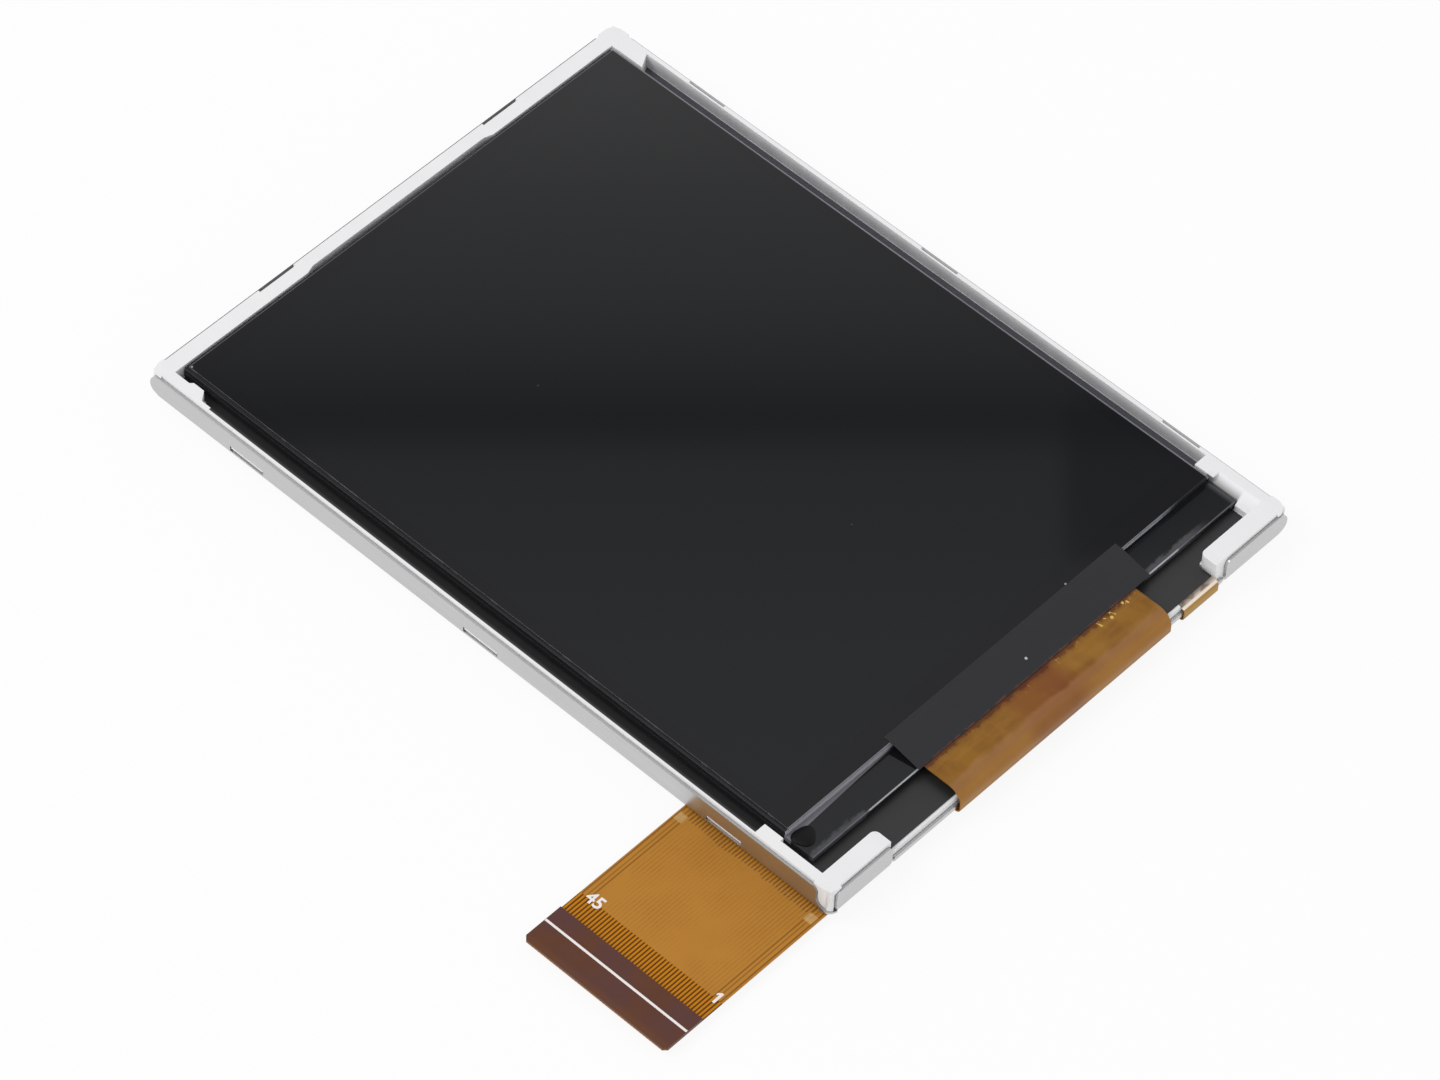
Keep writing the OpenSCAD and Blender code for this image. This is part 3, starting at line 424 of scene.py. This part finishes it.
def amber_bond(f, spot, x, y, z, streak):
    """The bond's and fold's colour: mottled film, a ragged dark line along the cover tape, a painted
    highlight along the crease.
    """
    mottle = f.noise(spot, 0.3, stretch=(1, 0.5, 0.3), shift=(3.1, 0, 0), detail=3, rough=0.6)
    blush = x.between(-3.4, 2.2, 2.4) * mottle.fade(0.5, 1.0)
    film = f.mix(mottle.above(0.5, 0.2), colour("8f6220"), colour("7d521c"))
    film = f.mix(streak.above(0.5, 0.25) * 0.45, film, colour("9c7030"))
    film = f.mix(blush * 0.9, film, colour("773f20"))
    # A painted highlight along the crease where the fold starts, and the fold's face below it
    crease_highlight = (y + mottle).between(flex_low.y + 0.85, flex_low.y + 1.75, 0.4)
    film = f.mix(crease_highlight * 0.5, film, colour("a07350"))
    turned_down = z.below(1.9, 0.5)
    film = f.mix(turned_down, film, f.mix(streak, colour("95622a"), colour("ab7a34")))
    film = f.mix(turned_down * blush * 0.8, film, colour("7d4826"))
    # The dark line along the tape, with nicks and a few glints beside it
    edge = f.noise(spot, 1.1, stretch=(1, 0.4, 1), detail=3, rough=0.7).fade(-0.45, 0.45)
    ragged = f.noise(spot, 2.2, stretch=(1, 0.4, 1), shift=(0, 6, 0), detail=3, rough=0.7)
    beside = (y + edge + ragged * 0.4).above(cover_low.y - 0.1, 0.2)
    shade = (y + edge).above(cover_low.y - 0.3, 1.0)
    film = f.mix(shade * 0.6, film, colour("4a2a18"))
    film = f.mix(beside * 0.6, film, colour("4a1c12"))
    nicks = f.noise(spot, 3.4, stretch=(1, 0.6, 0.3), shift=(6, 0, 0), detail=3, rough=0.7).above(0.62, 0.05)
    nicks = nicks * (y + edge).between(cover_low.y - 0.7, cover_low.y - 0.25, 0.15)
    film = f.mix(nicks * f.noise(spot, 0.25, shift=(1, 1, 1)).above(0.52, 0.08) * 0.6, film, colour("b8873f"))
    glints = f.noise(spot, 3.2, stretch=(1, 0.6, 1), shift=(4, 4, 0), detail=3).above(0.585, 0.03)
    glints = glints * x.between(7.0, 10.4, 0.5) * y.between(cover_low.y - 0.7, cover_low.y - 0.15, 0.2)
    return f.mix(glints, film, colour("e4ba66"))


def amber_lamp_tail(f, spot, x, z, film):
    """The lamp circuit's tail over the film: golden, darker above the turn with painted glare in patches, and
    a painted glint where it turns down.
    """
    lamp = x.between(lamp_start, lamp_end, 0.2)
    film = f.mix(lamp * 0.85, film, colour("b28a42"))
    # Above the turn: darker, with painted glare in pale patches
    glare_patches = f.noise(spot, 0.9, shift=(2, 0, 6), detail=3).above(0.5, 0.2)
    film = f.mix(lamp * z.above(1.08, 0.06), film, f.mix(glare_patches, colour("6a4e36"), colour("d3c8c0")))
    return f.mix(lamp * z.between(0.95, 1.08, 0.05), film, colour("f8eadc"))


def amber_flex():
    """Polyimide circuit: copper under amber film, with what each of its zones shows."""
    f = Finish("amber_flex_finish")
    spot, x, y, z = f.place()
    cloud = f.noise(spot, 0.35, detail=3)
    fine = f.noise(spot, 5.0, detail=2)
    streak = f.noise(spot, 0.8, stretch=(0.25, 1, 0.8), detail=4, rough=0.65)
    traces = y.lines(pin_pitch, 0.13, 0.08, start=tail_mid)
    copper = f.mix(cloud, colour("b2782b"), colour("bd8331"))
    # The back: runs between the parts
    runs = y.lines(0.9, 0.18, 0.08) * z.below(-0.05, 0.02)
    runs = runs * f.noise(spot, 0.15, shift=(5, 5, 5)).above(0.45, 0.2)
    back = f.mix(runs * 0.6, copper, colour("8f6426"))
    on_tail = x.below(tray_low.x + 0.6, 0.1)
    on_bond = y.below(tray_low.y + 6.0, 0.1) * z.above(-0.05, 0.05)
    film = amber_lamp_tail(f, spot, x, z, amber_bond(f, spot, x, y, z, streak))
    base = f.mix(on_tail, back, amber_tail(f, spot, x, y, copper, fine, traces))
    base = f.mix(on_bond, base, film)
    normal = f.bump(cloud, 0.00003, 0.5)
    normal = f.bump(traces * on_tail + streak * on_bond, 0.000005, 0.6, over=normal)
    return f.surface(Base_Color=base, Roughness=cloud.fade(0.3, 0.45), Normal=normal, Specular_IOR_Level=0.2)


def stiffener_film():
    """Dark brown stiffener with purple and red-brown clouds."""
    f = Finish("stiffener_film_finish")
    spot, x = f.place()[:2]
    cloud = f.noise(spot, 0.5, detail=3)
    tint = f.noise(spot, 0.3, shift=(9, 2, 0), detail=2)
    fine = f.noise(spot, 8.0, stretch=(0.2, 1, 1), detail=2)
    base = f.mix(cloud, colour("583223"), colour("64391f"))
    base = f.mix(tint.above(0.5, 0.3) * 0.6, base, colour("543438"))
    base = f.mix(x.below(stiff_low.x + 0.5, 0.5) * 0.4, base, colour("6b4326"))
    return f.surface(Base_Color=base, Roughness=fine.fade(0.34, 0.46), Normal=f.bump(fine, 0.000004, 0.4),
                     Specular_IOR_Level=0.3)


def speckled(name, first, second, scale, rough, metallic=0.0, height=0.000006, **constants):
    """A plain moulded, printed or plated finish: two close colours in fine noise, with a light skin."""
    f = Finish(name)
    spot = f.place()[0]
    grain = f.noise(spot, scale, detail=3)
    cloud = f.noise(spot, scale / 9, shift=(2, 7, 1), detail=2)
    base = f.mix((grain * 0.5 + cloud * 0.5).clamped(), colour(first), colour(second))
    return f.surface(Base_Color=base, Roughness=cloud.fade(*rough), Metallic=metallic,
                     Normal=f.bump(grain, height, 0.6), **constants)


def chip_body(name, code, centre, pitch, length, tin):
    """A chip's body with tinned ends: pitch apart along X from the first centre, or alone where it is 0."""
    f = Finish(name)
    spot, x = f.place()[:2]
    fine = f.noise(spot, 12.0, detail=3)
    off = (x - centre).math("PINGPONG", pitch / 2) if pitch else abs(x - centre)
    ends = off.above(length / 2 - tin, 0.04)
    base = f.mix(fine, colour(code), [c * 1.3 for c in colour(code)[:3]] + [1])
    base = f.mix(ends, base, f.mix(fine, colour("b9b9b6"), colour("d5d5d2")))
    return f.surface(Base_Color=base, Metallic=ends * 0.9, Roughness=fine.fade(0.3, 0.5),
                     Normal=f.bump(fine, 0.000006, 0.6))


# ---------- pieces ----------

def show(mesh, name, finish, slot, *replaced):
    """Puts a mesh in the scene as a piece of the module."""
    piece = bpy.data.objects.new(name, mesh)
    bpy.context.scene.collection.objects.link(piece)
    mesh.materials.clear()
    mesh.materials.append(finish)
    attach(piece, "root")
    if replaced:
        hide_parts(*replaced)
    return piece


def to_mesh(bm, name, smooth=None):
    """Ends a bmesh as a mesh in metres, smooth between faces that meet under the angle smooth."""
    mesh = bpy.data.meshes.new(name)
    bm.to_mesh(mesh)
    bm.free()
    if smooth is not None:
        mesh.polygons.foreach_set("use_smooth", [True] * len(mesh.polygons))
        mesh.set_sharp_from_angle(angle=math.radians(smooth))
    return mesh


def close_near_hollows(bm):
    """Brings the back of each hollow above a -X snap lug out to the frame's side. The others stay open."""
    for vert in bm.verts:
        at = vert.co / MM
        if at.z > hollow_low and abs(at.x - frame_side - hollow_deep) < 0.01:
            vert.co.x = frame_side * MM
    bmesh.ops.remove_doubles(bm, verts=bm.verts, dist=WELD)


def finished_copy(node, name, finish, slot, edge, segments=2, sharp=35, change=None):
    """A copy of a CAD node with its edges rounded, which stands for the node."""
    bm = bmesh.new()
    bm.from_mesh(NODES[node].data)
    bmesh.ops.remove_doubles(bm, verts=bm.verts, dist=WELD)
    if change:
        change(bm)
    bmesh.ops.dissolve_limit(bm, angle_limit=math.radians(0.5), verts=bm.verts, edges=bm.edges)
    piece = show(to_mesh(bm, name, SMOOTH), name, finish, slot, node)
    bevel = piece.modifiers.new("round_edges", "BEVEL")
    bevel.width = edge * MM
    bevel.segments = segments
    bevel.limit_method = "ANGLE"
    bevel.angle_limit = math.radians(sharp)
    bevel.use_clamp_overlap = True
    bevel.harden_normals = True


def film_plate(low, high, radius=0.0, edge=0.0):
    """A thin plate between two corners in millimetres, with round corners and eased edges."""
    bm = bmesh.new()
    bmesh.ops.create_cube(bm, size=1.0)
    size = Vector(high) - Vector(low)
    middle = (Vector(high) + Vector(low)) / 2
    bmesh.ops.scale(bm, vec=size, verts=bm.verts)
    bmesh.ops.translate(bm, vec=middle, verts=bm.verts)
    if radius:
        upright = [e for e in bm.edges if abs(e.verts[0].co.z - e.verts[1].co.z) > size.z / 2]
        bmesh.ops.bevel(bm, geom=upright, offset=radius, offset_type="OFFSET", segments=6,
                        profile=0.5, affect="EDGES", material=-1)
    if edge:
        rim = [e for e in bm.edges if all(v.co.z > middle.z for v in e.verts) and len(e.link_faces) == 2
               and e.calc_face_angle() > 1]
        bmesh.ops.bevel(bm, geom=rim, offset=edge, offset_type="OFFSET", segments=1,
                        profile=0.5, affect="EDGES", material=-1)
    bmesh.ops.scale(bm, vec=(MM, MM, MM), verts=bm.verts)
    return bm


def printed(text, name, height, thick, corner, finish):
    """Printed figures that stand up along +X and read towards -Y, from their lower left corner."""
    figure_share = 0.7  # a figure's height over the letters' size
    swell = 0.03  # makes the strokes as broad as a silk print's
    curve = bpy.data.curves.new(name, "FONT")
    curve.body = text
    curve.size = height / figure_share
    curve.extrude = thick / 2
    curve.resolution_u = 6
    curve.offset = swell
    figure = bpy.data.objects.new(name + "_text", curve)
    bpy.context.scene.collection.objects.link(figure)
    bpy.context.view_layer.update()
    mesh = bpy.data.meshes.new_from_object(figure.evaluated_get(bpy.context.evaluated_depsgraph_get()))
    bpy.data.objects.remove(figure)
    mesh.transform(Matrix.Translation(-Vector((min(v.co.x for v in mesh.vertices), 0, 0))))
    turn = Matrix.Rotation(math.radians(-90), 4, "Z")
    mesh.transform(Matrix.Scale(MM, 4) @ Matrix.Translation(Vector(corner)) @ turn)
    show(mesh, name, finish, "solder")


steel = stainless()
plastic = white_plastic()
film_finish = polarizer()
glass = panel_glass()
flex = amber_flex()
brown = stiffener_film()
print_white = speckled("printed_white_finish", "ece6e4", "f6f0ee", 9.0, (0.45, 0.6))
tape = black_film("cover_tape_finish", "18191e", 0.34, 0.46, cover_tint)
tinned = speckled("solder_finish", "b9bbbd", "d4d5d6", 7.0, (0.16, 0.3), metallic=1.0)

finished_copy("metal_tray", "folded_tray", steel, "stainless_sheet", 0.03)
finished_copy("mold_frame", "moulded_frame", plastic, "white_frame", 0.05, change=close_near_hollows)
finished_copy("front_polarizer", "polarizer_sheet", film_finish, "polarizer_film", 0.04)
finished_copy("color_filter_glass", "upper_glass", glass, "panel_glass", 0.05, segments=1)
finished_copy("tft_glass", "lower_glass", glass, "panel_glass", 0.05, segments=1)
finished_copy("chip_cover_tape", "cover_tape", tape, "cover_tape", 0.015)

# Silk line across the stiffener
line_x = stiff_low.x + 2.23
line_half, line_thick = 0.1, 0.012
line = film_plate((line_x - line_half, stiff_low.y + 0.03, stiff_high.z),
                  (line_x + line_half, stiff_high.y - 0.03, stiff_high.z + line_thick), edge=0.005)
show(to_mesh(line, "stiffener_line", SMOOTH), "stiffener_line", print_white, "solder")

# The tail's cover film, from the bare traces to the module
coverlay_low = Vector((trace_end, stiff_low.y + 0.06, tail_top))
coverlay_high = Vector((tray_low.x - 0.25, stiff_high.y - 0.06, tail_top + 0.025))
coverlay = film_plate(coverlay_low, coverlay_high, radius=0.3, edge=0.012)
show(to_mesh(coverlay, "tail_coverlay", SMOOTH), "tail_coverlay", flex, "amber_flex")

# The figures of the last and the first contact, printed on the cover film
print_thick = 0.02
last_corner = Vector((-35.92, -20.93, coverlay_high.z + 0.008))
first_corner = Vector((-36.0, -33.33, coverlay_high.z - 0.005))
printed("45", "figure_last", 1.03, print_thick, last_corner, print_white)

# The figure 1 is a bar with a flag, from its lower left corner along -Y and up along +X
one = bmesh.new()
outline = [(0.2, 0), (0.42, 0), (0.42, 1.05), (0.24, 1.05), (0, 0.84), (0, 0.64), (0.2, 0.78)]
corners = [one.verts.new(first_corner + Vector((up, -along, 0))) for along, up in outline]
raised = bmesh.ops.extrude_face_region(one, geom=[one.faces.new(corners)])["geom"]
raised = [part for part in raised if isinstance(part, bmesh.types.BMVert)]
bmesh.ops.translate(one, vec=(0, 0, print_thick), verts=raised)
bmesh.ops.recalc_face_normals(one, faces=one.faces)
bmesh.ops.scale(one, vec=(MM, MM, MM), verts=one.verts)
show(to_mesh(one, "figure_first", SMOOTH), "figure_first", print_white, "solder")

# Black glue that ran out on the glass ledge at the panel's -X corner
glue_centre = Vector((cf_low.x + 0.95, cf_low.y - 0.95, tft_high.z + 0.02))
glue_half = Vector((0.95, 0.85, 0.2))
glue = bmesh.new()
bmesh.ops.create_uvsphere(glue, u_segments=28, v_segments=14, radius=1.0)
for v in glue.verts:
    lobes = 1 + 0.1 * math.sin(3 * math.atan2(v.co.y, v.co.x) + 0.6)
    v.co = Vector((v.co.x * glue_half.x * lobes, v.co.y * glue_half.y * lobes, v.co.z * glue_half.z))
bmesh.ops.translate(glue, vec=glue_centre, verts=glue.verts)
bmesh.ops.scale(glue, vec=(MM, MM, MM), verts=glue.verts)
glue_finish = speckled("black_glue_finish", "060607", "0a0a0c", 2.0, (0.45, 0.6), Specular_IOR_Level=0.2)
show(to_mesh(glue, "glue_blob", 60), "glue_blob", glue_finish, "cover_tape")

# CAD nodes that keep their shape
kept = {
    "main_circuit": flex,
    "backlight_circuit": flex,
    "tail_stiffener": brown,
    "tail_contacts": speckled("gold_plate_finish", "c8a04a", "e2c070", 10.0, (0.2, 0.35), metallic=1.0),
    "rim_tape": black_film("black_tape_finish", "252526", 0.3, 0.45, rim_tint),
    "rear_polarizer": speckled("rear_film_finish", "3c3d44", "484a52", 4.0, (0.1, 0.2)),
    "reflector_sheet": speckled("reflector_finish", "e8e8ea", "f4f4f6", 5.0, (0.2, 0.35)),
    "light_guide": speckled("guide_finish", "cfdadc", "dfe8ea", 3.0, (0.05, 0.12)),
    "diffuser_sheet": speckled("diffuser_finish", "e9e9e4", "f2f2ee", 8.0, (0.55, 0.7)),
    "lower_prism_sheet": speckled("prism_lower_finish", "d4dde2", "e2eaee", 10.0, (0.2, 0.3)),
    "upper_prism_sheet": speckled("prism_upper_finish", "d8e0e6", "e6edf2", 10.0, (0.2, 0.3)),
    "driver_chip": speckled("silicon_finish", "303238", "3c3f47", 6.0, (0.1, 0.2)),
    "backlight_leds": speckled("lamp_finish", "efe6b8", "f7f0cc", 6.0, (0.3, 0.45)),
    "circuit_adhesive": speckled("adhesive_finish", "bdbdbb", "cfcfcc", 4.0, (0.4, 0.6)),
    "chip_capacitors": chip_body("capacitor_finish", "a5825a", caps_low.x + 0.5, 2.2, 1.0, 0.25),
    "chip_resistors": chip_body("resistor_finish", "1c1d20", middle_x("chip_resistors"), 0, 1.0, 0.25),
    "protection_diode": chip_body("diode_finish", "1a1a1c", middle_x("protection_diode"), 0, 1.8, 0.24),
    "solder_joints": tinned,
}
for node, finish in kept.items():
    NODES[node].data.materials.clear()
    NODES[node].data.materials.append(finish)

# ---------- camera ----------

camera_place = Vector((-0.25203, -0.21891, 0.40154))
camera_angles = (39.052, -1.936, -46.749)  # degrees about X, Y and Z

camera = bpy.data.objects.new("camera", bpy.data.cameras.new("camera"))
bpy.context.scene.collection.objects.link(camera)
camera.data.sensor_width = 36
camera.data.lens = 175.38
turned = Euler([math.radians(angle) for angle in camera_angles]).to_matrix()
right, up, back = turned.col
camera.matrix_world = Matrix.Translation(camera_place) @ turned.to_4x4()
bpy.context.scene.camera = camera

# ---------- floor, world and lamps ----------

floor_size = 3.0
plane = bmesh.new()
bmesh.ops.create_grid(plane, x_segments=1, y_segments=1, size=floor_size)
bmesh.ops.translate(plane, vec=(0, 0, solid_box[0].z), verts=plane.verts)
floor = bpy.data.objects.new("floor", to_mesh(plane, "floor"))
bpy.context.scene.collection.objects.link(floor)


def seen_rays(f):
    """1 for what the camera, a reflection or clear glass sees, 0 for light on the object."""
    rays = [f.node("ShaderNodeLightPath", output=name)
            for name in ("Is Camera Ray", "Is Glossy Ray", "Is Transmission Ray")]
    return (rays[0] + rays[1] + rays[2]).clamped()


paper = Finish("floor_finish")
matt = paper.node("ShaderNodeBsdfDiffuse", None, {"Color": grey(0.88)})
glow = paper.node("ShaderNodeEmission", None, {"Color": grey(1.0), "Strength": 1.0})
blend = paper.node("ShaderNodeMixShader", None, {0: seen_rays(paper) * 0.9, 1: matt, 2: glow})
paper.node("ShaderNodeOutputMaterial", None, {"Surface": blend})
floor.data.materials.append(paper.material)

# The room: a white backdrop all round, a greyer ceiling, and a dark seam over the far side, which the
# panel mirrors
world = bpy.data.worlds.new("studio")
world.use_nodes = True
bpy.context.scene.world = world
studio = Finish("studio", world.node_tree)
way = studio.node("ShaderNodeTexCoord", output="Generated")


def along(direction):
    """How far a ray points along a direction."""
    return studio.node("ShaderNodeVectorMath", {"operation": "DOT_PRODUCT"}, {0: way, 1: direction}, "Value")


def level_ramp(value, low, high, stops):
    """Brightness along a value, from (value, brightness) stops."""
    part = studio.node("ShaderNodeMapRange", None, {0: value, 1: low, 2: high})
    stops = [((at - low) / (high - low), grey(level)) for at, level in stops]
    return studio.node("ShaderNodeValToRGB", {"stops": stops}, {0: part})


# The studio's own directions, each as the level panel mirrors it
mirror = Matrix.Diagonal(Vector((1, 1, -1)))
seam_down, seam_ahead, seam_right = mirror @ -up, mirror @ -back, mirror @ right
row = along(seam_down) / along(seam_ahead)
column = along(seam_right) / along(seam_ahead)
height = studio.node("ShaderNodeSeparateXYZ", None, {0: way}, 2)
room = level_ramp(height, 0.0, 1.0, [(0.0, 1.0), (0.6, 1.0), (0.74, 0.55), (1.0, 0.5)])
seam = level_ramp(row, -0.08, 0.06, [(-0.08, 0.95), (-0.0655, 0.80), (-0.0485, 0.56), (-0.034, 0.43),
                                     (-0.0285, 0.36), (-0.0215, 0.25), (-0.0172, 0.165), (-0.0145, 0.24),
                                     (-0.0115, 0.35), (0.0, 0.385), (0.0155, 0.45), (0.06, 0.52)])
flag = column.above(0.0492, 0.003) * row.between(-0.02, 0.0028, 0.0015)
seam = studio.mix(flag * 0.55, seam, grey(0.1))
near = along(seam_ahead).above(0.96, 0.03)
sky = studio.mix(near, room, seam)
camera_ray = studio.node("ShaderNodeLightPath", output="Is Camera Ray")
sky = studio.mix(camera_ray, sky, grey(1.0))
background = studio.node("ShaderNodeBackground", None, {"Color": sky, "Strength": 1.0})
studio.node("ShaderNodeOutputWorld", None, {"Surface": background})


def softbox(name, spot, aim, size, power):
    """A round soft lamp at a spot, turned to its aim."""
    lamp = bpy.data.lights.new(name, "AREA")
    lamp.shape = "DISK"
    lamp.size = size
    lamp.energy = power
    made = bpy.data.objects.new(name, lamp)
    bpy.context.scene.collection.objects.link(made)
    made.location = spot
    made.rotation_euler = (Vector(aim) - Vector(spot)).to_track_quat("-Z", "Y").to_euler()


softbox("key_softbox", (-0.45, 0.35, 0.75), (0, 0, 0), 0.5, 2.6)

scene = bpy.context.scene
scene.view_settings.view_transform = "Standard"

# ---------- scene update ---

bpy.context.view_layer.update()
